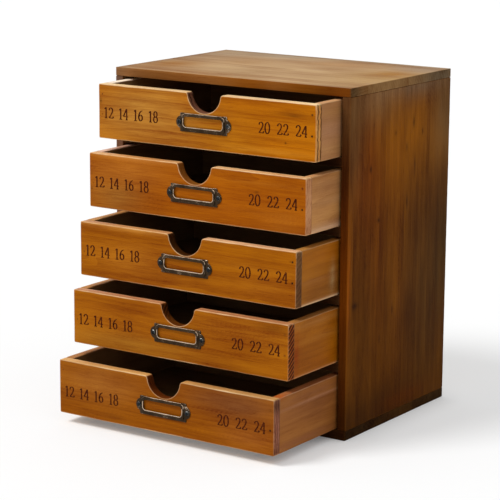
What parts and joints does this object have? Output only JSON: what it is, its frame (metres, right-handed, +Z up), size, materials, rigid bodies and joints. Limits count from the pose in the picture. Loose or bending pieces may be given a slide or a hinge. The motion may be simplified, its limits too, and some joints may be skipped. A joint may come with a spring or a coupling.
{
  "type": "desktop drawer cabinet",
  "caption": "Small wooden desktop cabinet with a column of shallow drawers, each with a half-round finger notch and a metal label holder.",
  "frame": {"origin": "middle of the cabinet's flat underside", "axes": "+Z up, +Y from the drawer fronts towards the back panel, +X towards the cabinet's right side seen from the front"},
  "size_m": [0.25, 0.2756, 0.3105],
  "materials": {
    "carcass_wood": "dark brown stained softwood with a satin wax",
    "front_wood": "honey brown stained softwood with a satin lacquer",
    "drawer_wood": "tan stained softwood, thin satin lacquer",
    "plywood": "thin plywood, sanded",
    "holder_metal": "pressed sheet, dark antique finish worn bright on its edges",
    "screw_steel": "domed slotted heads, dulled",
    "nail_steel": "plain bright nails, heads flush with the wood"
  },
  "bodies": {
    "cabinet": {"top_board": "carcass_wood", "base_board": "carcass_wood", "left_side": "carcass_wood", "right_side": "carcass_wood", "back_panel": "plywood", "back_panel_pins": "nail_steel", "shelf_1": "carcass_wood", "shelf_2": "carcass_wood", "shelf_3": "carcass_wood", "shelf_4": "carcass_wood"},
    "drawer_1": {"drawer_1_front": "front_wood", "drawer_1_left_side": "drawer_wood", "drawer_1_right_side": "drawer_wood", "drawer_1_back": "drawer_wood", "drawer_1_bottom": "plywood", "drawer_1_label_holder": "holder_metal", "drawer_1_screws": "screw_steel", "drawer_1_nails": "nail_steel"},
    "drawer_2": {"drawer_2_front": "front_wood", "drawer_2_left_side": "drawer_wood", "drawer_2_right_side": "drawer_wood", "drawer_2_back": "drawer_wood", "drawer_2_bottom": "plywood", "drawer_2_label_holder": "holder_metal", "drawer_2_screws": "screw_steel", "drawer_2_nails": "nail_steel"},
    "drawer_3": {"drawer_3_front": "front_wood", "drawer_3_left_side": "drawer_wood", "drawer_3_right_side": "drawer_wood", "drawer_3_back": "drawer_wood", "drawer_3_bottom": "plywood", "drawer_3_label_holder": "holder_metal", "drawer_3_screws": "screw_steel", "drawer_3_nails": "nail_steel"},
    "drawer_4": {"drawer_4_front": "front_wood", "drawer_4_left_side": "drawer_wood", "drawer_4_right_side": "drawer_wood", "drawer_4_back": "drawer_wood", "drawer_4_bottom": "plywood", "drawer_4_label_holder": "holder_metal", "drawer_4_screws": "screw_steel", "drawer_4_nails": "nail_steel"},
    "drawer_5": {"drawer_5_front": "front_wood", "drawer_5_left_side": "drawer_wood", "drawer_5_right_side": "drawer_wood", "drawer_5_back": "drawer_wood", "drawer_5_bottom": "plywood", "drawer_5_label_holder": "holder_metal", "drawer_5_screws": "screw_steel", "drawer_5_nails": "nail_steel"}
  },
  "joints": [
    {"name": "drawer_1_slide", "type": "slide", "parent": "cabinet", "child": "drawer_1", "axis": [0, -1, 0], "range_m": [-0.038, 0.112]},
    {"name": "drawer_2_slide", "type": "slide", "parent": "cabinet", "child": "drawer_2", "axis": [0, -1, 0], "range_m": [-0.052, 0.098]},
    {"name": "drawer_3_slide", "type": "slide", "parent": "cabinet", "child": "drawer_3", "axis": [0, -1, 0], "range_m": [-0.066, 0.084]},
    {"name": "drawer_4_slide", "type": "slide", "parent": "cabinet", "child": "drawer_4", "axis": [0, -1, 0], "range_m": [-0.0765, 0.0735]},
    {"name": "drawer_5_slide", "type": "slide", "parent": "cabinet", "child": "drawer_5", "axis": [0, -1, 0], "range_m": [-0.0975, 0.0525]}
  ]
}
